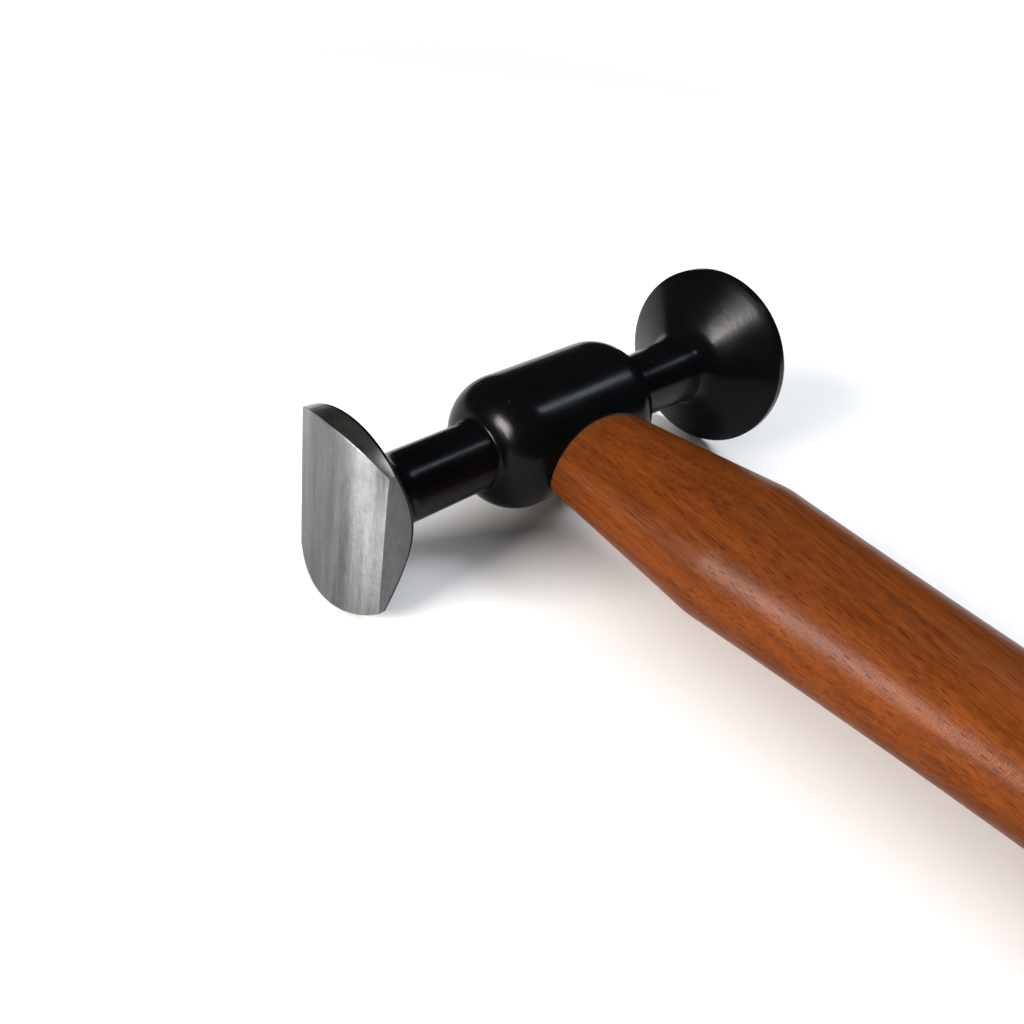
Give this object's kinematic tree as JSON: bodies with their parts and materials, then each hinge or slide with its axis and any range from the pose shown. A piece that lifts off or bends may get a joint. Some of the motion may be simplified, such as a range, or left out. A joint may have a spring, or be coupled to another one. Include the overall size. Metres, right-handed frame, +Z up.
{
  "type": "jeweller's hammer",
  "caption": "Hand hammer with a flared round flat face, a rounded cross peen, slim necks and an oval hardwood handle wedged in the eye, lying on its side.",
  "frame": {"origin": "on the bench surface, under the middle of the lying hammer's outer box", "axes": "+Y along the handle from the head to the butt, -X the way the round flat face looks, +X the way the peen looks, +Z up; the head leans 0.9 degrees and the handle drops 2 degrees because the hammer rests on the face's rim, the peen's foot and the grip's swell"},
  "size_m": [0.096, 0.243, 0.0362],
  "materials": {
    "head_enamel": "black satin enamel over forged steel, with the face and the peen ground bare",
    "handle_wood": "red-brown stained hardwood under satin varnish",
    "wedge_wood": "plain sawn end grain",
    "wedge_steel": "plain sheared steel"
  },
  "bodies": {
    "root": {"hammer_head": "head_enamel", "handle": "handle_wood", "wood_wedge": "wedge_wood", "steel_wedge_face_side": "wedge_steel", "steel_wedge_peen_side": "wedge_steel"}
  },
  "joints": []
}
